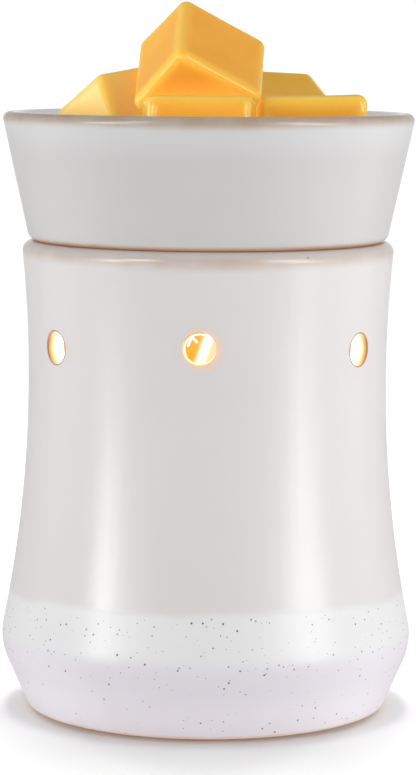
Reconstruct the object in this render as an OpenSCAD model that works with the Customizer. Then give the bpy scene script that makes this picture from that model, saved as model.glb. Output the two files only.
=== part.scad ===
// Ceramic wax-melt warmer with a lift-off dish, a bulb inside and five wax melts
// Millimetres, +Z up, front toward -Y, origin on the axis at the resting plane

/* [Body] */
// Height of the body from its foot to its top rim
body_h = 121.7; // [118:0.1:130]
// Radius of the waist, the narrowest place
waist_r = 46.7; // [45:0.1:48]
// Height of the waist above the foot
waist_h = 87.1; // [84:0.1:90]
// Largest radius of the belly
belly_r = 53.7; // [52.5:0.1:55]
// Height of the belly's widest place above the foot
belly_h = 18.6; // [16:0.1:21]
// Radius of the belly's own curve
belly_curve_r = 15.4; // [14:0.1:17]
// Inward lean of the side below the belly, in degrees from upright
foot_lean = 23.5; // [20:0.5:26]
// Thickness of the body wall
body_wall = 4.8; // [4.2:0.1:5.4]
// Rounding of the body's top edge
body_lip_r = 2.6; // [2:0.1:3]
// Rounding of the body's bottom edge
foot_edge_r = 1.2; // [0.6:0.1:2]
// Thickness of the body's floor ledge
ledge_t = 5; // [4:0.5:7]
// Room between the clamp screws and the edge of the hole in the body's floor
floor_hole_gap = 3; // [2:0.5:4]

/* [Light holes] */
// Radius of a light hole
hole_r = 4.15; // [3.5:0.05:5]
// Height of the front light hole above the foot
hole_h = 98; // [94:0.5:101]
// Drop of every second light hole, as punched by hand
hole_drop = 2; // [0:0.5:4]
// Angle of the front light hole from straight ahead, toward -X
hole_turn = 2.4; // [0:0.1:5]
// Angle of the two side light holes from straight ahead
hole_pitch = 55; // [53:0.5:60]

/* [Dish] */
// Height of the dish from its seat to its rim
dish_h = 33.2; // [31.5:0.1:36]
// Overhang of the rim past the belly, before its rounding
rim_over = 0; // [-0.7:0.1:1.3]
// Step in from the body's top edge to the dish's lower edge
dish_step = 2.05; // [0.5:0.05:2.5]
// Thickness of the dish wall, measured level
dish_wall = 4.3; // [3.8:0.1:4.5]
// Height of the inside floor above the seat
dish_floor_h = 8.1; // [7:0.1:9]
// Thickness of the dish floor
dish_floor_t = 4.1; // [3.5:0.1:4.5]
// Rounding between the inside floor and wall
dish_fillet_r = 10; // [8:0.5:10]
// Rounding of both edges of the rim
rim_edge_r = 1.8; // [1.2:0.1:1.9]
// Rounding of the outside lower edge
dish_corner_r = 2.8; // [2:0.1:3]
// Depth of the locating ring in the body's mouth
ring_h = 5; // [4:0.5:6]
// Thickness of the locating ring
ring_t = 4; // [3:0.5:5]
// Clearance between the locating ring and the mouth
ring_gap = 0.8; // [0.5:0.1:1.2]

/* [Wax melts] */
// Width of a melt's large face as a share of the dish's inside radius, which the pile fills
melt_share = 0.587; // [0.55:0.001:0.587]
// Gap between the dish and the melts lying in it
melt_gap = 0.2; // [0.1:0.05:0.3]

/* [Base] */
// Thickness of the foot pads
pad_h = 2.4; // [2.2:0.1:3]
// Radius of a foot pad
pad_r = 6; // [5:0.5:7]
// Distance of the foot pads from the base plate's edge
pad_inset = 1.5; // [1:0.5:3]
// Thickness of the base plate
plate_t = 1.6; // [1.2:0.1:2]
// Width of the foot's ring round the base plate
foot_ring_w = 6.5; // [5:0.5:7.5]
// Clearance around the base plate in its recess
plate_gap = 0.5; // [0.3:0.1:1]
// Depth of the recess under the body
recess_h = 3; // [2.6:0.1:3.2]
// Number of vent holes in the base plate
vent_count = 8; // [6:1:10]
// Radius of a vent hole
vent_r = 2.2; // [1.5:0.1:2.5]

/* [Lamp stand] */
// Thickness of the bracket strip
strip_t = 1.6; // [1.2:0.1:2]
// Width of the bracket strip
strip_w = 17; // [16:0.5:18]
// Height of the bracket's top above the body's ledge
stand_h = 33; // [30:0.5:35]
// Room between the lampholder's nuts and the bracket's legs
leg_gap = 2.8; // [2:0.1:3.5]
// Room between the bracket's ends and the body's wall
bracket_gap = 4.4; // [2:0.1:6]
// Room between the clamp nuts and the bracket's raised part
clamp_gap = 2; // [1.5:0.1:2.5]

/* [Lampholder and bulb] */
// Height of the lampholder block
holder_h = 15; // [14:0.5:17]
// Half width of the lampholder block
holder_r = 9.5; // [9:0.1:10]
// Thickness of the lampholder's insulating cover
cover_t = 1.2; // [0.8:0.1:2]
// Distance of each bulb pin from the axis
pin_ring_r = 5; // [5:0.05:5.1]
// Turn between locked and free in the bayonet slots
lock_turn = 20; // [16:1:22]
// Height of the bulb from its base to the top of its lens
bulb_h = 51.5; // [48:0.5:54]
// Largest radius of the bulb
bulb_r = 25; // [23:0.5:26]
// Thickness of the bulb's glass
glass_t = 1.6; // [1.2:0.1:2]

/* [Hidden] */
$fn = 96;
fine = 720;
over = 1;

// Resting heights, from the floor up
foot_z = pad_h + plate_t - recess_h;
plate_z = pad_h;
ledge_z = plate_z + plate_t;
ledge_top = ledge_z + ledge_t;
seat_z = foot_z + body_h;
rim_z = seat_z + dish_h;
dish_floor_z = seat_z + dish_floor_h;

// Body outline: the hollow curve meets the belly's curve, and the belly meets the foot, without a kink
waist_z = foot_z + waist_h;
belly_z = foot_z + belly_h;
belly_out = belly_r - waist_r;
belly_span = (pow(belly_out, 2) + pow(waist_z - belly_z, 2)) / (2 * belly_out);
waist_curve_r = belly_span - belly_curve_r;
waist_c = [waist_r + waist_curve_r, waist_z];
belly_c = [belly_r - belly_curve_r, belly_z];
belly_up = atan2(waist_c.y - belly_c.y, waist_c.x - belly_c.x);
function polar(r, a) = r * [cos(a), sin(a)];
function side_low(inset) = belly_c + polar(belly_curve_r - inset, -foot_lean);
function lean_r(inset, z) = side_low(inset).x - (side_low(inset).y - z) * tan(foot_lean);
function waist_side_r(inset, z) = waist_c.x - sqrt(pow(waist_curve_r + inset, 2) - pow(z - waist_z, 2));

// Rounded lip of the body, tangent to the hollow curve and to the seat
lip_z = (seat_z - body_lip_r + body_lip_r * waist_z / waist_curve_r) / (1 + body_lip_r / waist_curve_r);
lip_lean = asin((lip_z - waist_z) / waist_curve_r);
lip_start = [waist_side_r(0, lip_z), lip_z];
lip_c = lip_start - polar(body_lip_r, -lip_lean);
// Angle past the start of the lip, and reach past each end of the hollow curve, for a clean cut
lip_turn = 4;
tangent_reach = 3;
belly_steps = 20;
belly_end = belly_up - (belly_up + foot_lean) / belly_steps;
edge_steps = 10;
mouth_r = waist_side_r(body_wall, seat_z - ring_h);

// Light holes: the two side ones as seen, the ones behind sharing the rest evenly
hole_count = 6;
rear_pitch = (360 - 2 * hole_pitch) / (hole_count - 2);

// Dish outline: its lower edge stands in from the body's top edge, its rim over the belly
rim_r = belly_r + rim_over;
dish_base_r = waist_side_r(0, seat_z) - dish_step;
dish_lean = atan2(rim_r - dish_base_r, dish_h);
function dish_out_r(z) = dish_base_r + (z - seat_z) * tan(dish_lean);
function dish_in_r(z) = dish_out_r(z) - dish_wall;
ring_out = mouth_r - ring_gap;
ring_in = ring_out - ring_t;
ring_edge_r = 1;

// Wax melts: the pile fits the dish at its floor and at its rim
floor_share = 0.89;
pile_r = min(dish_in_r(dish_floor_z) / floor_share, dish_in_r(rim_z));
melt_w = melt_share * pile_r;
melt_top_w = melt_w * 0.9;
melt_h = melt_w * 0.725;
melt_edge_r = melt_w * 0.097;
// Each melt: middle from the dish floor's centre, in melt widths, then its turns about X, Y and Z
melt_front = [[-0.086, -1.079, 0.555], [83, 0, 0]];
melt_right = [[0.869, -0.124, 0.531], [-89, -1, 9]];
melt_left = [[-0.8, 0.186, 0.634], [92, -27, -54]];
melt_rear = [[0.583, 0.734, 0.759], [18, 3, 15]];
melt_top = [[-0.059, -0.262, 1.197], [39, 27, 17]];

// Fasteners: clamp screws and lampholder screws
clamp_r = 2;
clamp_head_r = 3.8;
clamp_head_h = 1.6;
clamp_nut_r = 4;
clamp_nut_h = 3.2;
holder_screw_r = 1.5;
holder_head_r = 2.7;
holder_head_h = 2;
holder_nut_r = 3.1;
holder_nut_h = 2.4;
screw_gap = 0.15;
thread_over = 1.5;
clamp_end = ledge_top + strip_t + clamp_nut_h + thread_over;

// Base plate in the foot's recess, and the pads under it
plate_r = lean_r(0, foot_z) - foot_ring_w - plate_gap;
pad_ring_r = plate_r - pad_inset - pad_r;

// Heights of the lamp stand
stand_z = ledge_top + stand_h;
holder_z = stand_z + cover_t;
holder_top = holder_z + holder_h;

// Bayonet pins and the pockets that take them
run_gap = 0.3;
pin_r = 1.6;
pin_head_r = 2.4;
pin_head_h = 2.5;
roof_t = 4;
pocket_r = 4;
pocket_top = holder_top - roof_t;
pin_head_z = pocket_top - run_gap - pin_head_h;
pocket_wall = 1;
holder_margin = 1.3;
holder_screw_x = pin_ring_r + pocket_r + pocket_wall + holder_screw_r;
holder_reach = holder_screw_x + holder_head_r + holder_margin - holder_r;

// Widths of the lamp stand, from the lampholder's nuts outward
stand_half = holder_screw_x + holder_nut_r + leg_gap + strip_t;
clamp_x = stand_half + clamp_gap + clamp_nut_r;
floor_hole_r = clamp_x + clamp_r + floor_hole_gap;
bracket_half = sqrt(pow(lean_r(body_wall, ledge_top), 2) - pow(strip_w / 2, 2)) - bracket_gap;

// Bulb heights
bulb_z = holder_top + run_gap;
cap_half = 3.5;
cap_r = 6.5;
cap_h = 7.5;
collar_r = 9.4;
collar_h = 15.4;
collar_top = bulb_z + collar_h;
neck_gap = 0.05;
neck_r = collar_r + neck_gap + glass_t;
lens_t = 2;
lens_z = bulb_z + bulb_h - lens_t;
bowl_h = lens_z - collar_top;
bowl_curve_r = (pow(bulb_r - neck_r, 2) + pow(bowl_h, 2)) / (2 * (bulb_r - neck_r));
capsule_r = 3.9;
capsule_wall = 0.8;
capsule_h = 14;
pinch_h = 5;
capsule_z = collar_top + pinch_h;
pinch = [7, 2.4];
coil_r = 0.9;
coil_h = 8;
coil_lead_r = 0.3;
coil_lead_h = 3;

// Terminal block and leads
block = [24, 14, 12];
block_y = 18;
barrel_x = 5.5;
barrel_r = 2.4;
barrel_bore_r = 1.5;
barrel_gap = 0.05;
barrel_z = ledge_z + block.z / 2;
grub_r = 1.25;
grub_y = 4;
grub_h = 4;
grub_slot = [0.6, 0.8];
block_head_h = 1.8;
lead_r = 1.3;
lead_bend_r = 6;
lead_stop = 2;
lead_end_y = block_y - lead_stop;
contact_t = 0.6;
contact_w = 4;
contact_gap = 0.1;
contact_x = barrel_x + lead_r + contact_gap;

// Ring of vents in the base plate, kept clear of the terminal block
vent_clear = 0.6;
vent_ring_r = block_y - block.y / 2 - vent_r - vent_clear;

// Cord inlet: a bushing through the belly at the back
inlet_z = belly_z;
inlet_hole_r = 5;
bushing_gap = 0.1;
bushing_bore_r = 3.5;
bushing_flange_r = 7;
bushing_flange_t = 1.6;
spot_depth = 2.2;
spot_y = belly_r - spot_depth;
spot_gap = 0.3;
barb_r = 5.5;
barb_t = 1.4;
barb_reach = 3.2;
barb_y = belly_r - body_wall - barb_reach;

// Points along an arc, both ends included
function arc(c, r, a0, a1, steps) = [for (k = [0 : steps]) c + polar(r, a0 + (a1 - a0) * k / steps)];

// Closed outline with a rounding radius for each corner, 0 for a sharp one
function unit(v) = v / norm(v);
function heading(v) = atan2(v.y, v.x);
function rounded_corner(a, p, b, r, steps = edge_steps) =
    let (half = acos(unit(a - p) * unit(b - p)) / 2)
    let (c = p + unit(unit(a - p) + unit(b - p)) * r / sin(half))
    let (start = heading(p + unit(a - p) * r / tan(half) - c))
    let (bend = cross(p - a, b - p) > 0 ? 180 - 2 * half : 2 * half - 180)
    arc(c, r, start, start + bend, steps);
function rounded(points, radii) =
    let (n = len(points))
    [for (i = [0 : n - 1]) each radii[i] == 0 ? [points[i]]
        : rounded_corner(points[(i + n - 1) % n], points[i], points[(i + 1) % n], radii[i])];

// Belly curve set in by a thickness, leaving along its tangent so that the hollow curve cuts it cleanly
function belly_side(inset) = concat(
    arc(belly_c, belly_curve_r - inset, -foot_lean, belly_end, belly_steps - 1),
    [belly_c + polar(belly_curve_r - inset, belly_end) + polar(tangent_reach, belly_end + 90)]
);

// Half section between the axis and the body's side, set in by a thickness
module body_section(inset, below, above) {
    side = belly_side(inset);
    side_top_z = side[len(side) - 1].y;
    difference() {
        polygon(concat(below, side, [[waist_c.x, side_top_z], [waist_c.x, above[0].y]], above));
        translate(waist_c) circle(waist_curve_r + inset, $fn = fine);
    }
}

// Outer half section with a rounded foot and a rounded lip
module body_outer() {
    foot = [lean_r(0, foot_z), foot_z];
    lip_a = lip_turn - lip_lean;
    body_section(
        0,
        concat([[0, foot_z]], rounded_corner([0, foot_z], foot, side_low(0), foot_edge_r)),
        concat(
            [lip_c + polar(body_lip_r, lip_a) + polar(tangent_reach, lip_a - 90)],
            arc(lip_c, body_lip_r, lip_a, 90, edge_steps),
            [[0, seat_z]]
        )
    );
}

// Inner half section, from the ledge to above the mouth
module body_inner() {
    top_z = seat_z + over;
    body_section(
        body_wall,
        [[0, ledge_top], [lean_r(body_wall, ledge_top), ledge_top]],
        [[waist_c.x, top_z], [0, top_z]]
    );
}

// Light holes: the front one first, then round from +X to -X
module light_holes() {
    for (i = [0 : hole_count - 1]) {
        rotate(i == 0 ? -hole_turn : hole_pitch + (i - 1) * rear_pitch)
            translate([0, 0, foot_z + hole_h - (i % 2) * hole_drop])
                rotate([90, 0, 0]) cylinder(r = hole_r, h = belly_r + over);
    }
}

// Ceramic body with its ledge, light holes and cord inlet
module body_shell() {
    color("white") difference() {
        rotate_extrude() difference() {
            body_outer();
            body_inner();
            translate([0, foot_z - over]) square([plate_r + plate_gap, recess_h + over]);
            square([floor_hole_r, ledge_top + over]);
        }
        light_holes();
        translate([0, 0, inlet_z]) rotate([-90, 0, 0]) cylinder(r = inlet_hole_r, h = belly_r + over);
        translate([0, spot_y, inlet_z]) rotate([-90, 0, 0])
            cylinder(r = bushing_flange_r + spot_gap, h = belly_r - spot_y + over);
    }
}

// Dish with its rounded rim, its filleted hollow and the ring that drops into the body's mouth
module wax_dish() {
    recess_z = dish_floor_z - dish_floor_t;
    ring_z = seat_z - ring_h;
    color("white") rotate_extrude() polygon(rounded(
        [[0, recess_z], [ring_in, recess_z], [ring_in, ring_z], [ring_out, ring_z], [ring_out, seat_z],
            [dish_base_r, seat_z], [rim_r, rim_z], [rim_r - dish_wall, rim_z],
            [dish_in_r(dish_floor_z), dish_floor_z], [0, dish_floor_z]],
        [0, 0, ring_edge_r, ring_edge_r, 0, dish_corner_r, rim_edge_r, rim_edge_r, dish_fillet_r, 0]
    ));
}

// One melt around its own middle: a shallow tapered block with soft edges
module wax_melt() {
    low = melt_w / 2 - melt_edge_r;
    high = melt_top_w / 2 - melt_edge_r;
    rise = melt_h / 2 - melt_edge_r;
    hull() {
        for (x = [-1, 1], y = [-1, 1]) {
            translate([x * low, y * low, -rise]) sphere(melt_edge_r, $fn = 24);
            translate([x * high, y * high, rise]) sphere(melt_edge_r, $fn = 24);
        }
    }
}

module placed_melt(pose) {
    color("orange")
        translate(melt_w * pose[0] + [0, 0, dish_floor_z + melt_gap])
            rotate(pose[1]) wax_melt();
}
module wax_front() { placed_melt(melt_front); }
module wax_right() { placed_melt(melt_right); }
module wax_left() { placed_melt(melt_left); }
module wax_rear() { placed_melt(melt_rear); }
module wax_top() { placed_melt(melt_top); }

// Places of the two clamp screws, and of the two lampholder screws
module at_clamps() {
    for (side = [-1, 1]) translate([side * clamp_x, 0, 0]) children();
}
module at_holder_screws() {
    for (side = [-1, 1]) translate([side * holder_screw_x, 0, 0]) children();
}

// Round plate under the body with clamp holes, a ring of vents and the terminal block's screw hole
module base_plate() {
    color("silver") translate([0, 0, plate_z]) difference() {
        cylinder(r = plate_r, h = plate_t);
        at_clamps() translate([0, 0, -over]) cylinder(r = clamp_r + screw_gap, h = plate_t + 2 * over);
        for (i = [0 : vent_count - 1]) {
            rotate((i + 0.5) * 360 / vent_count) translate([0, -vent_ring_r, -over])
                cylinder(r = vent_r, h = plate_t + 2 * over);
        }
        translate([0, block_y, -over]) cylinder(r = grub_r, h = plate_t + 2 * over);
    }
}

module foot_pad(i) {
    color("dimgray") rotate(45 + 90 * i) translate([pad_ring_r, 0, 0]) cylinder(r = pad_r, h = pad_h);
}
module foot_pad_1() { foot_pad(1); }
module foot_pad_2() { foot_pad(2); }
module foot_pad_3() { foot_pad(3); }
module foot_pad_4() { foot_pad(4); }

// Screws from below the plate that pull the bracket down on the body's ledge
module clamp_screws() {
    color("silver") at_clamps() {
        difference() {
            translate([0, 0, plate_z - clamp_head_h]) cylinder(r = clamp_head_r, h = clamp_head_h);
            translate([0, 0, plate_z - clamp_head_h - over])
                cylinder(r = clamp_r, h = clamp_head_h / 2 + over, $fn = 6);
        }
        translate([0, 0, plate_z]) cylinder(r = clamp_r, h = clamp_end - plate_z);
    }
}
module hex_nut(r, h, bore) {
    difference() {
        cylinder(r = r, h = h, $fn = 6);
        translate([0, 0, -over]) cylinder(r = bore, h = h + 2 * over);
    }
}
module clamp_nuts() {
    color("silver") at_clamps() translate([0, 0, ledge_top + strip_t])
        hex_nut(clamp_nut_r, clamp_nut_h, clamp_r);
}

// Hat-shaped steel strip that holds the lampholder up and clamps the body's ledge
module lamp_bracket() {
    color("silver") difference() {
        translate([0, strip_w / 2, 0]) rotate([90, 0, 0]) linear_extrude(strip_w) {
            difference() {
                union() {
                    translate([-stand_half, ledge_top]) square([2 * stand_half, stand_h]);
                    translate([-bracket_half, ledge_top]) square([2 * bracket_half, strip_t]);
                }
                translate([strip_t - stand_half, ledge_top - over])
                    square([2 * (stand_half - strip_t), stand_h - strip_t + over]);
            }
        }
        at_clamps() translate([0, 0, ledge_top - over])
            cylinder(r = clamp_r + screw_gap, h = strip_t + 2 * over);
        at_holder_screws() translate([0, 0, stand_z - strip_t - over])
            cylinder(r = holder_screw_r + screw_gap, h = strip_t + 2 * over);
        lead_holes(stand_z - strip_t, strip_t);
    }
}
module lead_holes(z, t) {
    for (side = [-1, 1]) translate([side * barrel_x, 0, z - over])
        cylinder(r = lead_r + screw_gap, h = t + 2 * over);
}

// Outline shared by the lampholder and its cover
module holder_outline() {
    for (side = [-1, 1]) translate([side * holder_reach, 0]) circle(holder_r);
    square([2 * holder_reach, 2 * holder_r], center = true);
}

// Keyhole slot for one bulb pin: locked at angle 0, free to lift at the lock turn
module keyhole(z, h) {
    translate([0, 0, z]) {
        translate([pin_ring_r, 0, 0]) cylinder(r = pin_r + run_gap, h = h);
        rotate_extrude(angle = lock_turn)
            translate([pin_ring_r - pin_r - run_gap, 0]) square([2 * (pin_r + run_gap), h]);
        rotate(lock_turn) translate([pin_ring_r, 0, 0]) cylinder(r = pin_head_r + run_gap, h = h);
    }
}

module lampholder() {
    color("ivory") difference() {
        translate([0, 0, holder_z]) linear_extrude(holder_h) holder_outline();
        for (side = [0, 180]) rotate(side) {
            rotate(lock_turn / 2) translate([pin_ring_r, 0, holder_z - over])
                cylinder(r = pocket_r, h = holder_h - roof_t + over);
            keyhole(pocket_top - over, roof_t + 2 * over);
        }
        at_holder_screws() {
            translate([0, 0, holder_z - over])
                cylinder(r = holder_screw_r + screw_gap, h = holder_h + 2 * over);
            translate([0, 0, holder_top - holder_head_h - screw_gap])
                cylinder(r = holder_head_r + screw_gap, h = holder_head_h + over);
        }
    }
}

module holder_cover() {
    color("tan") difference() {
        translate([0, 0, stand_z]) linear_extrude(cover_t) holder_outline();
        at_holder_screws() translate([0, 0, stand_z - over])
            cylinder(r = holder_screw_r + screw_gap, h = cover_t + 2 * over);
        lead_holes(stand_z, cover_t);
    }
}

// Bent strip under a pin head, standing on the cover beside its lead
module contact(turn) {
    leaf_z = pin_head_z - run_gap - contact_t;
    leaf_w = contact_x + contact_t - pin_ring_r + pin_r;
    color("gold") rotate(turn) {
        translate([contact_x, -contact_w / 2, holder_z]) cube([contact_t, contact_w, leaf_z - holder_z]);
        translate([pin_ring_r - pin_r, -contact_w / 2, leaf_z]) cube([leaf_w, contact_w, contact_t]);
    }
}
module contact_live() { contact(0); }
module contact_neutral() { contact(180); }

module holder_screws() {
    shank_z = stand_z - strip_t - holder_nut_h - thread_over;
    color("silver") at_holder_screws() {
        difference() {
            translate([0, 0, holder_top - holder_head_h - screw_gap])
                cylinder(r = holder_head_r, h = holder_head_h);
            translate([0, 0, holder_top - holder_head_h / 2 - screw_gap])
                cylinder(r = holder_screw_r, h = holder_head_h, $fn = 6);
        }
        translate([0, 0, shank_z])
            cylinder(r = holder_screw_r, h = holder_top - holder_head_h - screw_gap - shank_z);
    }
}
module holder_nuts() {
    color("silver") at_holder_screws() translate([0, 0, stand_z - strip_t - holder_nut_h])
        hex_nut(holder_nut_r, holder_nut_h, holder_screw_r);
}

// Sleeved lead from the lampholder's contact down and back into a terminal barrel
module lead(side) {
    drop_z = barrel_z + lead_bend_r;
    color("linen") translate([side * barrel_x, 0, 0]) {
        translate([0, 0, drop_z]) cylinder(r = lead_r, h = holder_z + over - drop_z);
        translate([0, lead_bend_r, drop_z]) rotate([0, 90, 0]) rotate(270)
            rotate_extrude(angle = 90) translate([lead_bend_r, 0]) circle(lead_r);
        translate([0, lead_bend_r, barrel_z]) rotate([-90, 0, 0])
            cylinder(r = lead_r, h = lead_end_y - lead_bend_r);
    }
}
module lead_live() { lead(1); }
module lead_neutral() { lead(-1); }

// Two-way terminal block on the base plate
module terminal_block() {
    color("ivory") difference() {
        translate([-block.x / 2, block_y - block.y / 2, ledge_z]) cube(block);
        for (side = [-1, 1]) translate([side * barrel_x, block_y, 0]) {
            translate([0, -block.y / 2 - over, barrel_z]) rotate([-90, 0, 0])
                cylinder(r = barrel_r + barrel_gap, h = block.y + 2 * over);
            for (end = [-1, 1]) translate([0, end * grub_y, barrel_z])
                cylinder(r = grub_r + screw_gap, h = block.z);
        }
        translate([0, block_y, ledge_z - over]) cylinder(r = grub_r + screw_gap, h = block.z + 2 * over);
        translate([0, block_y, ledge_z + block.z / 2]) cylinder(r = barrel_r + screw_gap, h = block.z);
    }
}
module barrel(side) {
    color("gold") translate([side * barrel_x, block_y, barrel_z]) difference() {
        translate([0, -block.y / 2, 0]) rotate([-90, 0, 0]) cylinder(r = barrel_r, h = block.y);
        translate([0, -block.y / 2 - over, 0]) rotate([-90, 0, 0])
            cylinder(r = barrel_bore_r, h = block.y + 2 * over);
        for (end = [-1, 1]) translate([0, end * grub_y, 0]) cylinder(r = grub_r, h = barrel_r + over);
    }
}
module barrel_live() { barrel(1); }
module barrel_neutral() { barrel(-1); }
module terminal_screws() {
    color("silver") for (side = [-1, 1], end = [-1, 1])
        translate([side * barrel_x, block_y + end * grub_y, barrel_z + lead_r]) difference() {
            cylinder(r = grub_r, h = grub_h);
            translate([-grub_r - over, -grub_slot.x / 2, grub_h - grub_slot.y])
                cube([2 * (grub_r + over), grub_slot.x, grub_slot.y + over]);
        }
}
module block_screw() {
    color("silver") translate([0, block_y, 0]) {
        translate([0, 0, plate_z]) cylinder(r = grub_r, h = plate_t + block.z / 2);
        translate([0, 0, ledge_z + block.z / 2]) cylinder(r = barrel_r, h = block_head_h);
    }
}

// Rubber bushing of the cord inlet, snapped through the belly from outside
module cord_bushing() {
    color("dimgray") translate([0, 0, inlet_z]) rotate([-90, 0, 0]) difference() {
        union() {
            translate([0, 0, barb_y]) cylinder(r = inlet_hole_r - bushing_gap, h = spot_y - barb_y);
            translate([0, 0, barb_y - barb_t])
                cylinder(r1 = inlet_hole_r - bushing_gap, r2 = barb_r, h = barb_t);
            translate([0, 0, spot_y]) cylinder(r = bushing_flange_r, h = bushing_flange_t);
        }
        translate([0, 0, barb_y - barb_t - over])
            cylinder(r = bushing_bore_r, h = belly_r - barb_y + barb_t + 2 * over);
    }
}

// Bulb: ceramic base with a round collar, and two headed pins
module bulb_base() {
    color("ivory") {
        translate([0, 0, bulb_z]) linear_extrude(cap_h) {
            for (side = [-1, 1]) translate([side * cap_half, 0]) circle(cap_r);
            square([2 * cap_half, 2 * cap_r], center = true);
        }
        translate([0, 0, bulb_z + cap_h]) cylinder(r = collar_r, h = collar_top - bulb_z - cap_h);
    }
}
module bulb_pins() {
    color("silver") for (side = [-1, 1]) translate([side * pin_ring_r, 0, 0]) {
        translate([0, 0, pin_head_z]) cylinder(r = pin_head_r, h = pin_head_h);
        translate([0, 0, pin_head_z + pin_head_h]) cylinder(r = pin_r, h = bulb_z - pin_head_z - pin_head_h);
    }
}

// Glass reflector: a neck around the collar and a bowl whose curve ends upright at the rim
module bulb_reflector() {
    bowl_c = [bulb_r - bowl_curve_r, lens_z];
    color("lightblue") rotate_extrude() {
        translate([collar_r + neck_gap, collar_top - cap_h]) square([glass_t, cap_h]);
        intersection() {
            difference() {
                translate(bowl_c) circle(bowl_curve_r, $fn = fine);
                translate(bowl_c) circle(bowl_curve_r - glass_t, $fn = fine);
            }
            translate([0, collar_top]) square([bulb_r + over, bowl_h]);
        }
    }
}
module bulb_lens() {
    color("lightblue") translate([0, 0, lens_z]) cylinder(r = bulb_r, h = lens_t);
}

// Quartz capsule with its flat pinch, hollow round the filament
module capsule_form(inset) {
    translate([0, 0, capsule_z + inset]) cylinder(r = capsule_r - inset, h = capsule_h - inset);
    translate([0, 0, capsule_z + capsule_h]) sphere(capsule_r - inset);
}
module bulb_capsule() {
    color("lightblue") {
        difference() {
            capsule_form(0);
            capsule_form(capsule_wall);
        }
        translate([-pinch.x / 2, -pinch.y / 2, collar_top]) cube([pinch.x, pinch.y, pinch_h]);
    }
}
module bulb_filament() {
    color("gold") translate([0, 0, capsule_z + capsule_wall]) {
        cylinder(r = coil_lead_r, h = coil_lead_h);
        translate([0, 0, coil_lead_h]) cylinder(r = coil_r, h = coil_h);
    }
}

body_shell();
wax_dish();
base_plate();
foot_pad_1();
foot_pad_2();
foot_pad_3();
foot_pad_4();
clamp_screws();
clamp_nuts();
lamp_bracket();
lampholder();
holder_cover();
contact_live();
contact_neutral();
holder_screws();
holder_nuts();
lead_live();
lead_neutral();
terminal_block();
barrel_live();
barrel_neutral();
terminal_screws();
block_screw();
cord_bushing();
bulb_base();
bulb_pins();
bulb_reflector();
bulb_lens();
bulb_capsule();
bulb_filament();
wax_front();
wax_right();
wax_left();
wax_rear();
wax_top();
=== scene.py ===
"""Looks of the ceramic wax melt warmer: glazes, wax, lit bulb, floor, studio light and camera."""
import itertools
import math

import bmesh
import bpy
from mathutils import Euler, Matrix, Vector, noise


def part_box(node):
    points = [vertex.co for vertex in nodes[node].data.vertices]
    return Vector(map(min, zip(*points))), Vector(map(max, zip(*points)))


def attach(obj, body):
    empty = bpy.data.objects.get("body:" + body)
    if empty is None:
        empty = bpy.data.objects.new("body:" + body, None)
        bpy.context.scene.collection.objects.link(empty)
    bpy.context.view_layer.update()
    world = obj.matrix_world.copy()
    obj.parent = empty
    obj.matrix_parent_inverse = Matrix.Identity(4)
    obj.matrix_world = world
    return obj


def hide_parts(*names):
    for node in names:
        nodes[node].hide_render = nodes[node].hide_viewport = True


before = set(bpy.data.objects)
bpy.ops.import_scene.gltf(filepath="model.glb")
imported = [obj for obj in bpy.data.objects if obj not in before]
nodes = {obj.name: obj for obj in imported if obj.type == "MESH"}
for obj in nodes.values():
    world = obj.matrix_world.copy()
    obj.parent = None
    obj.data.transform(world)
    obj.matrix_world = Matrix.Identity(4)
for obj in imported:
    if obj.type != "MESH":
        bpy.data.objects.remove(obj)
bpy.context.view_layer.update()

# Named sizes below are in millimetres and angles in degrees, unless a comment says otherwise
MM = 0.001

# Camera that fits the photo's outline
CAMERA_AT = Vector((0.2, -764.8, 173.2))
CAMERA_PITCH = 6.65
CAMERA_ROLL = 0.38
CAMERA_LENS = 136.5

# Heights of the ceramic above the table, from the frame
FOOT_Z, SEAT_Z = [corner.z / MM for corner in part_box("body_shell")]
RIM_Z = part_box("wax_dish")[1].z / MM

# Body's wall, and its outside radius at the light holes
BODY_WALL = 4.8
HOLE_OUT_R = 46.9

# Light holes as in the part's source: radius, height, and drop of every other one
HOLE_R = 4.15
HOLE_Z = 99
HOLE_DROP = 2

# Turns of the light holes toward +X: the front one, the next from straight ahead, and between the rear ones
HOLE_TURN = -2.4
HOLE_PITCH = 55
HOLE_COUNT = 6
REAR_PITCH = (360 - 2 * HOLE_PITCH) / (HOLE_COUNT - 2)
HOLES = [(HOLE_TURN, HOLE_Z)]
HOLES += [(HOLE_PITCH + (i - 1) * REAR_PITCH, HOLE_Z - i % 2 * HOLE_DROP) for i in range(1, HOLE_COUNT)]

# Painted glow round the front hole: its middle from the hole's middle, across and up
GLOW_SHIFT = (0.5, -0.3)

# Depths into the light holes between which the lamplight starts, turns gold and turns white
LAMPLIGHT_DEEP = (0.35, 0.7)
GOLD_DEEP = (0.4, 1.3)
WHITE_DEEP = (1.4, 2.6)

# Heights between which the bulb lights the inner wall: start, full, still full, end
LIT_WALL_Z = (76, 94, 104, 119)

# Dish: outside radius at its lower edge, and how much it grows for each millimetre up
DISH_BASE_R = 46.5
DISH_FLARE = 0.217

# Dip line of the foot glaze: height at the front, fall toward the sides and between which places along Y
DIP_Z = 33.1
DIP_FALL = 1.5
DIP_FALL_Y = (-51, -22)

# Dip line's wander up or down, and its soft edge from below to above it
DIP_WANDER = 0.5
DIP_EDGE = (-1.2, 1.6)

# Heights between which the foot turns from lilac made paler by painted bounce light from the floor to lilac,
# and from lilac to white
LILAC_Z = (2, 16)
FOOT_WHITE_Z = (17.8, 23.4)

# Specks in the foot glaze: cells in a millimetre, least and most radius in cells, and soft edge in cells
SPECK_CELLS = 0.7
SPECK_RADIUS = (0.1, 0.22)
SPECK_SOFT = 0.05

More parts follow.
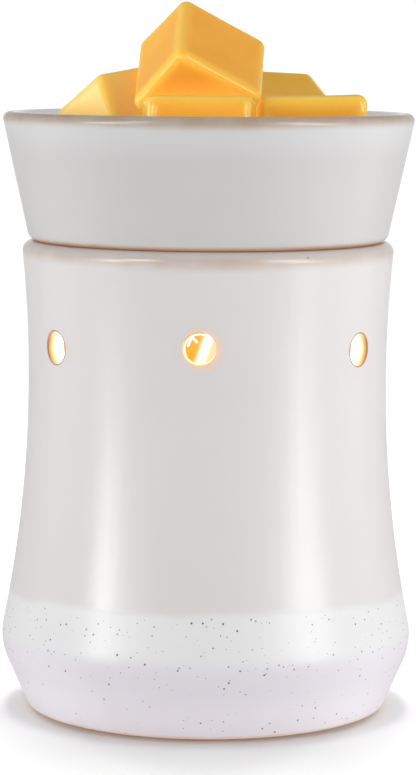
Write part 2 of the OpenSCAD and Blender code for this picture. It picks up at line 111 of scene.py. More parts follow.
# Depth below the dip line where specks start, and depths between which the share of cells with one changes
SPECK_START = 0.8
SPECK_DEPTHS = (9, 22)
SPECK_SHARE = (0.9, 0.35)

# Single speck on the shoulder: place, and radii where it ends and is full
LONE_SPECK = (24.65, -41.2, 121.2)
LONE_SPECK_R = (0.36, 0.18)

# Wax melts: width, then height, width at the top and radius of the edges as shares of it
MELT_W = 28.99
MELT_H_SHARE = 0.725
MELT_TOP_SHARE = 0.9
MELT_EDGE_SHARE = 0.097
MELT_HALF = Vector((1, 1, MELT_H_SHARE)) * MELT_W / 2
MELT_EDGE_R = MELT_EDGE_SHARE * MELT_W

# Surface of a melt: steps along a side, sink amid a face, and the skin's depth and its lumps in a millimetre
MELT_STEPS = 34
MELT_SINK = 0.35
MELT_SKIN = 0.12
MELT_LUMPS = 0.16

# Grid points of a melt this near each other are joined
MELT_WELD = 0.0001

# Reach within which another piece makes a gap where wax glows
MELT_GAP = 12

# Places of the melts as in the part's source: middle over the dish's floor in melt widths, turns, and body
MELT_BASE_Z = 131.0
MELTS = {
    "front": ((-0.086, -1.079, 0.555), (83, 0, 0), "wax_pile"),
    "right": ((0.869, -0.124, 0.531), (-89, -1, 9), "wax_pile"),
    "left": ((-0.8, 0.186, 0.634), (92, -27, -54), "wax_pile"),
    "rear": ((0.583, 0.734, 0.759), (18, 3, 15), "wax_pile"),
    "top": ((-0.059, -0.262, 1.197), (39, 27, 17), "wax_top_piece"),
}

# Bulb's glass as the front light hole shows it: middle across and up, and the painted highlights from there
SEEN_GLASS = (-2.0, 96.5)
BAND_SLANT = 19
BAND_LEFT = (-1.0, 0.9)
BAND_RIGHT = (3.1, 1.9)
ARC_R = 3.85
HOOK = [(-2.9, 0.9), (-2.0, 3.2), (-0.7, 1.9)]
HOOK_HALF_WIDTH = 0.42

# Bulb's front glass: radii where its glow is full and weakest, and the width of the rings pressed into it
LENS_GLOW_R = (2, 23)
LENS_RING = 2.4

# Floor: radius in metres, and sides of its outline
FLOOR_R = 0.6
FLOOR_SIDES = 96

# Distance of the lights, and height that they aim at, in metres
LIGHT_AWAY = 1.2
AIM_Z = 0.05

# Strips of light: name, turn toward +X and lift of both ends, width in metres, and power in watts
GLAZE_LIGHTS = [
    ("left_strip", (-66, 0.5), (-34, 26), 0.16, 3.9),
    ("right_strip", (67.5, -1.4), (40, 27), 0.4, 4.2),
]
FLOOR_LIGHTS = [
    ("overhead", (180, 63), (0, 80), 0.35, 11),
    ("floor_left", (-140, 10), (-140, 40), 0.3, 4),
    ("floor_right", (140, 10), (140, 40), 0.3, 4),
]
WAX_LIGHTS = [
    ("wax_side", (-80, -5), (-110, 12), 0.4, 3.9),
    ("wax_front", (-15, -5), (-15, 20), 0.5, 3.6),
]

# Strength of the white backdrop
BACKDROP = 1.06

# Range in which most values of a noise lie
NOISE_RANGE = (0.3, 0.7)


# Helpers for material nodes

def new_material(name, roughness=0.5, **sockets):
    """A material with its tree and shader; sockets are shader inputs by name, with _ for a space."""
    material = bpy.data.materials.new(name)
    material.use_nodes = True
    shader = material.node_tree.nodes["Principled BSDF"]
    shader.inputs["Roughness"].default_value = roughness
    for key, value in sockets.items():
        shader.inputs[key.replace("_", " ")].default_value = value
    return material, material.node_tree, shader


def add(tree, kind, inputs=(), **settings):
    """A node with its settings; inputs are pairs of socket and a value or a link."""
    node = tree.nodes.new(kind)
    for key, value in settings.items():
        setattr(node, key, value)
    for key, value in inputs:
        if isinstance(value, bpy.types.NodeSocket):
            tree.links.new(value, node.inputs[key])
        else:
            node.inputs[key].default_value = value
    return node


def feed(shader, socket, value):
    """Link a value to one of a shader's inputs."""
    shader.id_data.links.new(value, shader.inputs[socket])


def calc(tree, operation, *values):
    """Result of one step of arithmetic."""
    return add(tree, "ShaderNodeMath", enumerate(values), operation=operation).outputs[0]


def times(tree, product, *factors):
    for factor in factors:
        product = calc(tree, "MULTIPLY", product, factor)
    return product


def plus(tree, a, b):
    return calc(tree, "ADD", a, b)


def minus(tree, a, b):
    return calc(tree, "SUBTRACT", a, b)


def least(tree, a, b):
    return calc(tree, "MINIMUM", a, b)


def most(tree, a, b):
    return calc(tree, "MAXIMUM", a, b)


def fade(tree, value, low, high, at_low=0.0, at_high=1.0):
    """Smooth step from at_low to at_high as a value goes from low to high."""
    inputs = [("Value", value), ("From Min", low), ("From Max", high)]
    inputs += [("To Min", at_low), ("To Max", at_high)]
    return add(tree, "ShaderNodeMapRange", inputs, interpolation_type="SMOOTHSTEP").outputs[0]


def fade_mm(tree, length, low, high, at_low=0.0, at_high=1.0):
    """Smooth step of a length in metres from low to high, which are in millimetres."""
    return fade(tree, length, low * MM, high * MM, at_low, at_high)


def mix(tree, factor, a, b):
    """Colour a where factor is 0, colour b where it is 1."""
    return add(tree, "ShaderNodeMix", [(0, factor), (6, a), (7, b)], data_type="RGBA").outputs[2]


def grain(tree, place, per_mm, detail=2.0):
    """Noise from 0 to 1 with that many lumps in a millimetre."""
    inputs = [("Vector", place), ("Scale", per_mm / MM), ("Detail", detail)]
    return add(tree, "ShaderNodeTexNoise", inputs).outputs["Fac"]


def place_of(tree):
    """Place on the surface in metres, from the object's own origin."""
    return add(tree, "ShaderNodeTexCoord").outputs["Object"]


def axes_of(tree, place):
    return add(tree, "ShaderNodeSeparateXYZ", [(0, place)]).outputs


def axis_distance(tree, x, y):
    """Distance from the origin in the plane of two axes."""
    return calc(tree, "SQRT", plus(tree, times(tree, x, x), times(tree, y, y)))


def distance(tree, place, spot):
    """Distance of a place from a fixed spot, in metres; the spot is in millimetres."""
    inputs = [(0, place), (1, Vector(spot) * MM)]
    return add(tree, "ShaderNodeVectorMath", inputs, operation="DISTANCE").outputs["Value"]


def bump(tree, shader, height, depth, strength=1.0):
    """Relief from a height, of which 1 stands for the depth in millimetres."""
    inputs = [("Height", height), ("Distance", depth * MM), ("Strength", strength)]
    feed(shader, "Normal", add(tree, "ShaderNodeBump", inputs).outputs[0])


def rgb(red, green, blue):
    """Linear colour from screen values of 0 to 255."""
    def linear(v):
        v /= 255
        return v / 12.92 if v <= 0.04045 else ((v + 0.055) / 1.055) ** 2.4
    return (linear(red), linear(green), linear(blue), 1)


# Ceramic

BODY_WHITE = (rgb(215, 211, 210), rgb(219, 216, 215))
FOOT_WHITE = rgb(227, 227, 228)
LILAC = rgb(220, 215, 222)
# Lilac made paler by painted bounce light from the floor, at the bottom of the foot
PAINTED_BOUNCE_LILAC = rgb(240, 234, 240)
DISH_WHITE = (rgb(197, 194, 193), rgb(203, 201, 200))
DISH_TOP = rgb(206, 206, 207)
# Painted light: the dish's inside made whiter than its outside, and the cool colour of a painted glow there
PAINTED_LIT_DISH_INSIDE = rgb(226, 227, 231)
COOL_PAINTED_GLOW = rgb(214, 233, 255)
TAN = rgb(181, 159, 138)
PALE_TAN = rgb(200, 181, 167)
PALE_RUST = rgb(224, 199, 183)
# Rust of the dish's bare lower edge, also the colour of a painted glow along that edge that lightens its
# shade
RUST_AND_EDGE_GLOW = rgb(190, 138, 98)
DARK_RUST = rgb(168, 104, 66)
SPECK = rgb(78, 67, 57)

# Lamplight on the walls of the light holes, from the outside in, then in the front hole and round it
EMBER = rgb(236, 134, 50)
GOLD = rgb(255, 214, 92)
HOT_WHITE = rgb(255, 250, 232)
FRONT_AMBER = rgb(255, 192, 84)
# Peach of the painted glow round the front hole, also the colour of the painted glow at the foot's bare edge
PEACH_GLOW = rgb(240, 186, 150)

GLAZE_ROUGHNESS = 0.31
FOOT_ROUGHNESS = 0.43

# Strength of the faint painted glows
FOOT_EDGE_GLOW = 0.1
DISH_EDGE_GLOW = 0.2
DISH_INSIDE_GLOW = 0.17
HALO_GLOW = 0.1
INNER_WALL_GLOW = 0.6


def glaze(name):
    """Glossy ceramic to be coloured."""
    return new_material(name, GLAZE_ROUGHNESS, Specular_IOR_Level=0.9, Coat_Weight=0.4, Coat_Roughness=0.24)


def patches(tree, place, per_mm, low, high):
    """Share of wear along an edge, which comes and goes between low and high."""
    return fade(tree, grain(tree, place, per_mm, detail=3), 0.3, 0.65, low, high)


def dropped(tree, x, z, near, far, drop):
    """Height with a drop added where x is near the middle, so that an edge's wear reaches lower there."""
    return plus(tree, z, fade_mm(tree, calc(tree, "ABSOLUTE", x), near, far, drop * MM, 0.0))


def dip_line(tree, place, y):
    """Height of the dip line, which falls toward the sides and wanders a little."""
    level = fade_mm(tree, y, *DIP_FALL_Y, DIP_Z * MM, (DIP_Z - DIP_FALL) * MM)
    wander = fade(tree, grain(tree, place, per_mm=0.05), *NOISE_RANGE, -DIP_WANDER * MM, DIP_WANDER * MM)
    return plus(tree, level, wander)


def foot_colour(tree, z):
    """Cool white under the dip line, turning lilac at the belly, with painted bounce light from the floor
    making it paler down to the foot.
    """
    low = mix(tree, fade_mm(tree, z, *LILAC_Z), PAINTED_BOUNCE_LILAC, LILAC)
    return mix(tree, fade_mm(tree, z, *FOOT_WHITE_Z), low, FOOT_WHITE)


def specks(tree, place, z, dip):
    """Small dark specks in the foot glaze, thickest just under the dip line."""
    cells = add(tree, "ShaderNodeTexVoronoi", [("Vector", place), ("Scale", SPECK_CELLS / MM)])
    chance = add(tree, "ShaderNodeSeparateColor", [(0, cells.outputs["Color"])]).outputs
    below = minus(tree, dip, z)
    kept = calc(tree, "LESS_THAN", chance[0], fade_mm(tree, below, *SPECK_DEPTHS, *SPECK_SHARE))
    radius = fade(tree, chance[1], 0.2, 1.0, *SPECK_RADIUS)
    dot = fade(tree, minus(tree, cells.outputs["Distance"], radius), 0.0, -SPECK_SOFT)
    in_foot = calc(tree, "GREATER_THAN", below, SPECK_START * MM)
    strength = fade(tree, chance[2], 0.0, 1.0, 0.55, 1.0)
    return times(tree, dot, kept, in_foot, strength)


def shoulder_wear(tree, x, z):
    """Share of tan along the shoulder: it rises below the edge and weakens on top of it."""
    rise = fade_mm(tree, dropped(tree, x, z, near=3, far=30, drop=0.6), SEAT_Z - 4.9, SEAT_Z - 2.1)
    return times(tree, rise, fade_mm(tree, z, SEAT_Z - 2.4, SEAT_Z - 0.6, 1.0, 0.3))


def hole_spot(turn, height, across=0.0, up=0.0):
    """Middle of a light hole on the outside, or a spot beside it, in millimetres."""
    a = math.radians(turn)
    return (HOLE_OUT_R * math.sin(a) + across, -HOLE_OUT_R * math.cos(a), height + up)


def hole_distances(tree, place):
    """Distance from the front light hole's middle on the outside, and from the nearest other one."""
    front, *others = [distance(tree, place, hole_spot(*hole)) for hole in HOLES]
    nearest = others[0]
    for other in others[1:]:
        nearest = least(tree, nearest, other)
    return front, nearest


def hole_edges(tree, shade, glow, other):
    """Colour of the body with a painted peach glow round the front hole and rusty edges round the others."""
    shade = mix(tree, fade_mm(tree, glow, HOLE_R + 2.0, HOLE_R + 0.2, 0.0, 0.45), shade, PEACH_GLOW)
    return mix(tree, fade_mm(tree, other, HOLE_R + 0.45, HOLE_R + 0.2, 0.0, 0.9), shade, DARK_RUST)


def tunnel_light(tree, deep, front, other):
    """Colour and strength of the lamplight on the light holes' walls, brighter with depth."""
    near = least(tree, front, other)
    aside = calc(tree, "SQRT", minus(tree, times(tree, near, near), times(tree, deep, deep)))
    tunnel = times(tree, fade_mm(tree, near, HOLE_R + 4.2, HOLE_R + 3.4),
                   fade_mm(tree, aside, HOLE_R + 1.2, HOLE_R + 0.9), fade_mm(tree, deep, *LAMPLIGHT_DEEP))
    hot = mix(tree, fade_mm(tree, deep, *GOLD_DEEP), EMBER, GOLD)
    hot = mix(tree, fade_mm(tree, deep, *WHITE_DEEP), hot, HOT_WHITE)
    hot = mix(tree, calc(tree, "LESS_THAN", front, other), hot, FRONT_AMBER)
    strength = times(tree, tunnel, fade_mm(tree, deep, 0.3, 2.6, 0.6, 1.2))
    return mix(tree, tunnel, PEACH_GLOW, hot), strength


def chamber_light(tree, deep, z):
    """Strength of the lamplight on the body's inner wall, at the height of the bulb."""
    start, full, still_full, end = LIT_WALL_Z
    level = times(tree, fade_mm(tree, z, start, full), fade_mm(tree, z, end, still_full))
    return times(tree, fade_mm(tree, deep, BODY_WALL - 0.8, BODY_WALL - 0.3), level, INNER_WALL_GLOW)


def hole_light(tree, shade, place):
    """Colour of the body with its light holes, and colour and strength of the lamplight on its walls."""
    x, y, z = axes_of(tree, place)
    deep = minus(tree, HOLE_OUT_R * MM, axis_distance(tree, x, y))
    front, other = hole_distances(tree, place)
    glow = distance(tree, place, hole_spot(*HOLES[0], *GLOW_SHIFT))
    halo = fade_mm(tree, glow, HOLE_R + 1.8, HOLE_R + 0.2, 0.0, HALO_GLOW)
    tint, strength = tunnel_light(tree, deep, front, other)
    strength = most(tree, most(tree, strength, chamber_light(tree, deep, z)), halo)
    return hole_edges(tree, shade, glow, other), tint, strength


def body_glaze():
    """Warm white glaze, tan at the shoulder, over a cooler dipped and speckled foot."""
    material, tree, shader = glaze("body_glaze")
    place = place_of(tree)
    x, y, z = axes_of(tree, place)
    dip = dip_line(tree, place, y)
    over_dip = minus(tree, z, dip)
    patchy = patches(tree, place, per_mm=0.12, low=0.65, high=0.95)
    # Bare unglazed band at the foot's bottom: rusty in colour, and it also carries a painted glow that
    # lightens the shade under the foot
    bare = fade_mm(tree, z, FOOT_Z + 1.2, FOOT_Z + 0.5)
    lone = fade_mm(tree, distance(tree, place, LONE_SPECK), *LONE_SPECK_R, 0.0, 0.6)

    upper = mix(tree, grain(tree, place, per_mm=0.03, detail=3), *BODY_WHITE)
    shade = mix(tree, fade_mm(tree, over_dip, *DIP_EDGE), foot_colour(tree, z), upper)
    shade = mix(tree, specks(tree, place, z, dip), shade, SPECK)
    shade = mix(tree, times(tree, shoulder_wear(tree, x, z), patchy), shade, PALE_TAN)
    shade = mix(tree, lone, shade, SPECK)
    shade = mix(tree, times(tree, bare, patchy), shade, PALE_RUST)
    shade, tint, lit = hole_light(tree, shade, place)
    feed(shader, "Base Color", shade)
    feed(shader, "Emission Color", tint)
    feed(shader, "Emission Strength", most(tree, lit, times(tree, bare, FOOT_EDGE_GLOW)))
    feed(shader, "Roughness", fade_mm(tree, over_dip, *DIP_EDGE, FOOT_ROUGHNESS, GLAZE_ROUGHNESS))

    step = fade_mm(tree, over_dip, -0.6, 0.6, 0.0, 0.6)
    pits = times(tree, grain(tree, place, per_mm=1.4), 0.1)
    bump(tree, shader, plus(tree, step, pits), depth=0.25, strength=0.4)
    return material


def dish_inside(tree, x, y, z):
    """0 on the dish's outside and 1 on its inside, from the depth under its leaning outer wall."""
    outer_wall = calc(tree, "MULTIPLY_ADD", z, DISH_FLARE, (DISH_BASE_R - SEAT_Z * DISH_FLARE) * MM)
    return fade_mm(tree, minus(tree, outer_wall, axis_distance(tree, x, y)), 2.2, 3.2)


def dish_glaze():
    """The same glaze, worn thin and tan along the rim and the lower edge, with painted light making it whiter
    inside, and painted glows inside and along the lower edge.
    """
    material, tree, shader = glaze("dish_glaze")
    place = place_of(tree)
    x, y, z = axes_of(tree, place)
    inside = dish_inside(tree, x, y, z)
    patchy = patches(tree, place, per_mm=0.15, low=0.75, high=1.0)
    outer = times(tree, minus(tree, 1.0, inside), patchy)
    rim = fade_mm(tree, dropped(tree, x, z, near=5, far=32, drop=0.5), RIM_Z - 3.4, RIM_Z - 1.3)
    low = fade_mm(tree, z, SEAT_Z + 1.6, SEAT_Z + 0.5)
    seat = fade_mm(tree, z, SEAT_Z + 0.7, SEAT_Z)

    shade = mix(tree, grain(tree, place, per_mm=0.03, detail=3), *DISH_WHITE)
    shade = mix(tree, fade_mm(tree, z, RIM_Z - 12, RIM_Z - 4), shade, DISH_TOP)
    # Painted light: the inside is made whiter to stand in for light it lacks
    shade = mix(tree, inside, shade, PAINTED_LIT_DISH_INSIDE)
    shade = mix(tree, times(tree, rim, outer), shade, TAN)
    shade = mix(tree, times(tree, low, patchy), shade, TAN)
    feed(shader, "Base Color", mix(tree, seat, shade, RUST_AND_EDGE_GLOW))
    # Painted glows: rusty along the lower edge to lighten its shade, and cool inside the dish
    lit = plus(tree, times(tree, low, DISH_EDGE_GLOW), times(tree, inside, DISH_INSIDE_GLOW))
    feed(shader, "Emission Strength", lit)
    feed(shader, "Emission Color", mix(tree, inside, RUST_AND_EDGE_GLOW, COOL_PAINTED_GLOW))
    bump(tree, shader, grain(tree, place, per_mm=1.4), depth=0.03, strength=0.5)
    return material


# Wax

WAX = (rgb(236, 167, 54), rgb(241, 177, 64))
# Painted light: lit and shaded copies of the wax's colour, paler for the left melt in place of light and
# sheen it lacks, and tuned to how the rear and top melts are lit
WAX_LIT_AND_SHADED_COPIES = {
    "left": (rgb(255, 205, 118), rgb(255, 213, 132)),
    "rear": (rgb(254, 182, 42), rgb(255, 190, 50)),
    "top": (rgb(236, 163, 56), rgb(241, 173, 66)),
}
# Lighter yellow painted along the melts' edges as a highlight
WAX_EDGE_HIGHLIGHT = rgb(249, 204, 80)
WAX_GAP_PAINTED_GLOW = rgb(250, 192, 76)
WAX_GLOW = rgb(250, 212, 104)


def near_edge(tree, place):
    """How near a melt's edges: 0 amid a face, 1 on an edge, from the second largest share of its size."""
    halves = [calc(tree, "ABSOLUTE", axis) for axis in axes_of(tree, place)]
    a, b, c = [calc(tree, "DIVIDE", v, h * MM) for v, h in zip(halves, MELT_HALF)]
    inner = least(tree, most(tree, a, b), c)
    return most(tree, least(tree, a, b), inner)


def wax_material(name, turn, low, high):
    """Soft wax that lets light in, with painted yellow highlights along its edges and a painted orange glow
    where pieces meet, in place of the shade there; the painted glow is faint elsewhere.
    """
    material, tree, shader = new_material(
        name, roughness=0.36, Subsurface_Weight=0.6, Subsurface_Radius=(1.0, 0.5, 0.12),
        Subsurface_Scale=3 * MM, Specular_IOR_Level=0.05, Coat_Roughness=0.08, Emission_Color=WAX_GLOW)
    inputs = [("Vector", place_of(tree)), ("Rotation", turn)]
    place = add(tree, "ShaderNodeVectorRotate", inputs, rotation_type="EULER_XYZ", invert=True).outputs[0]
    edge = fade(tree, near_edge(tree, place), 0.6, 0.97)
    # Painted glow: near other pieces, where shade would fall, the wax gets a brighter orange colour and more
    # emission
    open_air = add(tree, "ShaderNodeAmbientOcclusion", [("Distance", MELT_GAP * MM)]).outputs["AO"]
    shut = fade(tree, open_air, 0.55, 0.05)

    shade = mix(tree, fade(tree, grain(tree, place, per_mm=0.06, detail=3), *NOISE_RANGE), low, high)
    shade = mix(tree, edge, shade, WAX_EDGE_HIGHLIGHT)
    feed(shader, "Base Color", mix(tree, shut, shade, WAX_GAP_PAINTED_GLOW))
    feed(shader, "Coat Weight", fade(tree, edge, 0.0, 1.0, 0.2, 1.0))
    feed(shader, "Emission Strength", fade(tree, shut, 0.0, 1.0, 0.03, 0.3))
    bump(tree, shader, grain(tree, place, per_mm=0.5, detail=3), depth=0.1, strength=0.25)
    return material


def melt_point(spot):
    """Point on a soft-edged tapered block, from a spot on its plain block."""
    core = MELT_HALF - Vector((MELT_EDGE_R,) * 3)
    inner = Vector(max(-c, min(c, v)) for v, c in zip(spot, core))
    out = (spot - inner).normalized() * MELT_EDGE_R
    rise = (inner.z + core.z) / (2 * core.z)
    high = MELT_HALF.x * MELT_TOP_SHARE - MELT_EDGE_R
    narrow = 1 + (high / core.x - 1) * rise
    return Vector((inner.x * narrow, inner.y * narrow, inner.z)) + out


def melt_surface(axis, side, a, b, seed):
    """Point of a melt's sunk and uneven surface; a and b run from -1 to 1 over one side of the block."""
    cube = [0.0, 0.0, 0.0]
    cube[axis] = side
    cube[(axis + 1) % 3] = a
    cube[(axis + 2) % 3] = b
    plain = Vector(c * h for c, h in zip(cube, MELT_HALF))
    sink = MELT_SINK * (1 - a * a) * (1 - b * b)
    skin = MELT_SKIN * (0.5 + 0.5 * noise.noise(plain * MELT_LUMPS + Vector((seed, 0, 0))))
    point = melt_point(plain)
    point -= Vector(sink * side if i == axis else 0 for i in range(3))
    return point - point.normalized() * skin


def melt_mesh(name, seed):
    """Block of six grids, whose lines lie closer together near the edges."""
    lines = [math.sin((2 * k / MELT_STEPS - 1) * math.pi / 2) for k in range(MELT_STEPS + 1)]
    bm = bmesh.new()
    for axis, side in itertools.product(range(3), (-1, 1)):
        grid = [[bm.verts.new(melt_surface(axis, side, a, b, seed) * MM) for b in lines] for a in lines]
        for i, j in itertools.product(range(MELT_STEPS), repeat=2):
            corners = [grid[i][j], grid[i + 1][j], grid[i + 1][j + 1], grid[i][j + 1]]
            bm.faces.new(corners if side > 0 else corners[::-1])
    bmesh.ops.remove_doubles(bm, verts=bm.verts, dist=MELT_WELD * MM)
    mesh = bpy.data.meshes.new(name)
    bm.to_mesh(mesh)
    bm.free()
    mesh.shade_smooth()
    return mesh


def add_melts():
    """The five wax melts, each in place of its solid."""
    melts = []
    for seed, (name, (middle, turns, body)) in enumerate(MELTS.items()):
        turn = Euler([math.radians(t) for t in turns])
        mesh = melt_mesh(f"melt_{name}", seed)
        mesh.transform(turn.to_matrix().to_4x4())
        mesh.materials.append(wax_material(f"{name}_wax", turn, *WAX_LIT_AND_SHADED_COPIES.get(name, WAX)))
        melt = bpy.data.objects.new(f"melt_{name}", mesh)
        bpy.context.scene.collection.objects.link(melt)
        melt.location = (Vector(middle) * MELT_W + Vector((0, 0, MELT_BASE_Z))) * MM
        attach(melt, body)
        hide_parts(f"wax_{name}")
        melts.append(melt)
    return melts


# Lit glass of the bulb

AMBER = (rgb(255, 176, 44), rgb(255, 194, 66))
UPPER_AMBER = rgb(236, 188, 74)
PALE_AMBER = rgb(255, 236, 168)
GLASS_HIGHLIGHT_WHITE = rgb(255, 253, 240)
DARK_GLASS = (rgb(120, 70, 14), rgb(140, 84, 20))
LENS_GLASS = (rgb(255, 226, 170), rgb(255, 240, 205))
LENS_GLOW = (rgb(255, 240, 200), rgb(255, 178, 78))


def stroke(tree, u, v, start, end, half):
    """Soft straight mark between two spots, all in millimetres across and up."""
    run = Vector(end) - Vector(start)
    du = minus(tree, u, start[0] * MM)
    dv = minus(tree, v, start[1] * MM)
    along = plus(tree, times(tree, du, run.x), times(tree, dv, run.y))
    share = calc(tree, "DIVIDE", along, run.length_squared * MM)
    share = add(tree, "ShaderNodeClamp", [(0, share)]).outputs[0]
    off_u = minus(tree, du, times(tree, share, run.x * MM))
    off_v = minus(tree, dv, times(tree, share, run.y * MM))
    return fade_mm(tree, axis_distance(tree, off_u, off_v), half, 0.5 * half)


def painted_glass_highlights(tree, u, v, across):
    """Painted highlights on the glass: a slanted band, a thin arc at the upper left and a small hook."""
    band = times(tree, fade_mm(tree, across, *BAND_LEFT), fade_mm(tree, across, *BAND_RIGHT, 0.15, 1.0))
    off_arc = calc(tree, "ABSOLUTE", minus(tree, axis_distance(tree, u, v), ARC_R * MM))
    arc = times(tree, fade_mm(tree, off_arc, 0.35, 0.1), fade_mm(tree, minus(tree, v, u), 0.5, 2.5))
    hook = [stroke(tree, u, v, *ends, HOOK_HALF_WIDTH) for ends in itertools.pairwise(HOOK)]
    return most(tree, band, most(tree, arc, most(tree, *hook)))


def reflector_glass():
    """Amber glass lit from inside, paler on the right, with painted highlights toward the front hole."""
    material, tree, shader = new_material("reflector_glass", roughness=0.15)
    place = place_of(tree)
    x, _, z = axes_of(tree, place)
    u = minus(tree, x, SEEN_GLASS[0] * MM)
    v = minus(tree, z, SEEN_GLASS[1] * MM)
    slant = math.radians(BAND_SLANT)
    across = minus(tree, times(tree, u, math.cos(slant)), times(tree, v, math.sin(slant)))
    bright = painted_glass_highlights(tree, u, v, across)
    cloud = grain(tree, place, per_mm=0.3, detail=3)

    amber = mix(tree, cloud, *AMBER)
    amber = mix(tree, fade_mm(tree, v, -2.0, 3.0), amber, UPPER_AMBER)
    amber = mix(tree, fade_mm(tree, across, 1.8, 3.0), amber, PALE_AMBER)
    feed(shader, "Base Color", mix(tree, cloud, *DARK_GLASS))
    feed(shader, "Emission Color", mix(tree, bright, amber, GLASS_HIGHLIGHT_WHITE))
    feed(shader, "Emission Strength", fade(tree, bright, 0.0, 1.0, 0.88, 1.2))
    bump(tree, shader, cloud, depth=0.02, strength=0.3)
    return material


def lens_glass():
    """Lit front glass of the bulb, hottest in the middle, with fine rings pressed into it."""
    material, tree, shader = new_material("lens_glass", roughness=0.1)
    place = place_of(tree)
    x, y, _ = axes_of(tree, place)
    away = axis_distance(tree, x, y)
    ring = calc(tree, "SINE", times(tree, away, math.tau / (LENS_RING * MM)))
    out = fade_mm(tree, away, *LENS_GLOW_R)
    feed(shader, "Base Color", mix(tree, grain(tree, place, per_mm=0.3, detail=4), *LENS_GLASS))
    feed(shader, "Emission Color", mix(tree, out, *LENS_GLOW))
    glow = plus(tree, fade(tree, out, 0.0, 1.0, 1.0, 0.5), times(tree, ring, 0.06))
    feed(shader, "Emission Strength", glow)
    bump(tree, shader, ring, depth=0.1, strength=0.5)
    return material


# Plain materials of the pieces inside and below

LAMP_GLOW = rgb(255, 214, 150)


def grained(name, low, high, per_mm, roughness, depth=0.02, **sockets):
    """Material with a fine two-tone grain in colour and surface."""
    material, tree, shader = new_material(name, roughness, **sockets)
    spots = grain(tree, place_of(tree), per_mm, detail=4)
    feed(shader, "Base Color", mix(tree, spots, low, high))
    bump(tree, shader, spots, depth, strength=0.5)
    return material


def dress_nodes():
    """Give each node that stays in the picture its material."""
    steel = grained("steel", rgb(150, 150, 152), rgb(196, 196, 198), per_mm=0.8, roughness=0.32, Metallic=1.0)
    rubber = grained("pad_rubber", rgb(34, 34, 35), rgb(52, 52, 53), per_mm=1.2, roughness=0.8, depth=0.05)
    bushing = grained("bushing_rubber", rgb(206, 203, 198), rgb(220, 218, 214), per_mm=1.0, roughness=0.6,
                      depth=0.03)
    porcelain = grained("porcelain", rgb(224, 219, 208), rgb(238, 235, 226), per_mm=0.6, roughness=0.45)
    plastic = grained("block_plastic", rgb(214, 208, 190), rgb(228, 223, 208), per_mm=0.9, roughness=0.5)
    mica = grained("mica", rgb(140, 112, 78), rgb(178, 150, 110), per_mm=0.5, roughness=0.4)
    brass = grained("brass", rgb(184, 142, 70), rgb(220, 184, 108), per_mm=0.7, roughness=0.3, Metallic=1.0)
    sleeve = grained("sleeve", rgb(200, 192, 172), rgb(232, 226, 210), per_mm=2.0, roughness=0.8, depth=0.1)
    quartz = grained("quartz", rgb(255, 220, 160), rgb(255, 238, 200), per_mm=0.4, roughness=0.1,
                     Emission_Color=LAMP_GLOW, Emission_Strength=1.6)
    coil = grained("filament", rgb(255, 200, 120), rgb(255, 224, 160), per_mm=2.0, roughness=0.4,
                   Emission_Color=LAMP_GLOW, Emission_Strength=8.0)
    wear = {
        body_glaze(): ["body_shell"],
        dish_glaze(): ["wax_dish"],
        steel: ["base_plate", "clamp_screws", "clamp_nuts", "lamp_bracket", "holder_screws", "holder_nuts",
                "terminal_screws", "block_screw"],
        rubber: ["foot_pad_1", "foot_pad_2", "foot_pad_3", "foot_pad_4"],
        bushing: ["cord_bushing"],
        porcelain: ["lampholder", "bulb_base"],
        plastic: ["terminal_block"],
        mica: ["holder_cover"],
        brass: ["contact_live", "contact_neutral", "barrel_live", "barrel_neutral", "bulb_pins"],
        sleeve: ["lead_live", "lead_neutral"],
        reflector_glass(): ["bulb_reflector"],
        lens_glass(): ["bulb_lens"],
        quartz: ["bulb_capsule"],
        coil: ["bulb_filament"],
    }
    for material, names in wear.items():
        for name in names:
            nodes[name].data.materials.clear()
            nodes[name].data.materials.append(material)


# Camera, floor and light

def add_camera():
    """Camera at the photo's viewing angle."""
    data = bpy.data.cameras.new("camera")
    data.lens = CAMERA_LENS
    camera = bpy.data.objects.new("camera", data)
    bpy.context.scene.collection.objects.link(camera)
    tilt = Matrix.Rotation(math.radians(90 - CAMERA_PITCH), 4, "X")
    roll = Matrix.Rotation(math.radians(CAMERA_ROLL), 4, "Z")
    camera.matrix_world = Matrix.Translation(CAMERA_AT * MM) @ tilt @ roll
    bpy.context.scene.camera = camera


def add_floor():
    """Plain pale disc, kept out of reflections so that it doesn't wash out the foot."""
    mesh = bpy.data.meshes.new("floor")
    bm = bmesh.new()
    bmesh.ops.create_circle(bm, cap_ends=True, segments=FLOOR_SIDES, radius=FLOOR_R)
    bm.to_mesh(mesh)
    bm.free()
    material, tree, shader = new_material("floor", roughness=0.6)
    pale = mix(tree, grain(tree, place_of(tree), per_mm=0.01), rgb(235, 235, 235), rgb(238, 238, 238))
    feed(shader, "Base Color", pale)
    mesh.materials.append(material)
    floor = bpy.data.objects.new("floor", mesh)
    bpy.context.scene.collection.objects.link(floor)
    floor.visible_glossy = False
    return floor


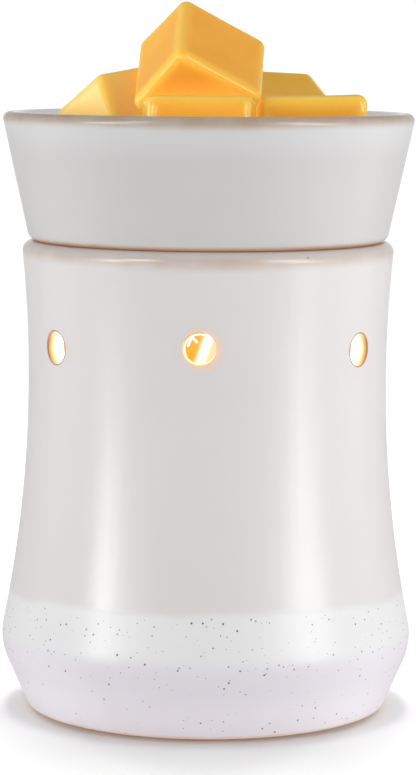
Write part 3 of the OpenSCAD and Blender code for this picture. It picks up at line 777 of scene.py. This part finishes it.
def add_world():
    """White behind the warmer, greyer all round, dim in front, and a little lighter on the right."""
    world = bpy.data.worlds.new("studio")
    bpy.context.scene.world = world
    world.use_nodes = True
    tree = world.node_tree
    x, y, z = axes_of(tree, add(tree, "ShaderNodeTexCoord").outputs["Generated"])
    front_to_side = fade(tree, y, -0.97, 0.1, 0.18, 0.9)
    right = fade(tree, x, 0.15, 0.95, 0.0, 0.27)
    dim_rear = fade(tree, y, 0.3, 0.7, 1.0, 0.6)
    dim_top = fade(tree, z, 0.15, 0.6, 1.0, 0.65)
    around = times(tree, plus(tree, front_to_side, right), dim_rear, dim_top)
    behind = fade(tree, y, 0.95, 0.985)
    strength = plus(tree, times(tree, around, minus(tree, 1.0, behind)), times(tree, behind, BACKDROP))
    background = tree.nodes["Background"]
    background.inputs["Color"].default_value = (1, 1, 1, 1)
    feed(background, "Strength", strength)


def direction(turn, lift):
    """Unit vector at a turn from straight ahead toward +X, and a lift above level."""
    a, e = math.radians(turn), math.radians(lift)
    return Vector((math.sin(a) * math.cos(e), -math.cos(a) * math.cos(e), math.sin(e)))


def softbox(name, low, high, width, power):
    """Strip of light aimed at the warmer, from one end to the other, each a turn and a lift."""
    bottom, top = direction(*low) * LIGHT_AWAY, direction(*high) * LIGHT_AWAY
    middle = (bottom + top) / 2
    data = bpy.data.lights.new(name, "AREA")
    data.shape = "RECTANGLE"
    data.size = width
    data.size_y = (top - bottom).length
    data.energy = power
    lamp = bpy.data.objects.new(name, data)
    bpy.context.scene.collection.objects.link(lamp)
    back = middle.normalized()
    side = (top - bottom).cross(back).normalized()
    turn = Matrix((side, back.cross(side), back)).transposed().to_4x4()
    lamp.matrix_world = Matrix.Translation(middle + Vector((0, 0, AIM_Z))) @ turn
    return lamp


def light_only(lamp, objects):
    """Keep a lamp's light to some objects; everything still casts shadows."""
    lit = bpy.data.collections.new(f"lit_by_{lamp.name}")
    for obj in objects:
        lit.objects.link(obj)
    lamp.light_linking.receiver_collection = lit


def add_studio(floor, melts):
    """Backdrop, strips that show in the glaze, and lights for the floor and the wax alone."""
    add_world()
    for strip in GLAZE_LIGHTS:
        softbox(*strip)
    for strip in FLOOR_LIGHTS:
        light_only(softbox(*strip), [floor])
    for strip in WAX_LIGHTS:
        light_only(softbox(*strip), melts)


add_camera()
add_studio(add_floor(), add_melts())
dress_nodes()
bpy.context.scene.view_settings.view_transform = "Standard"
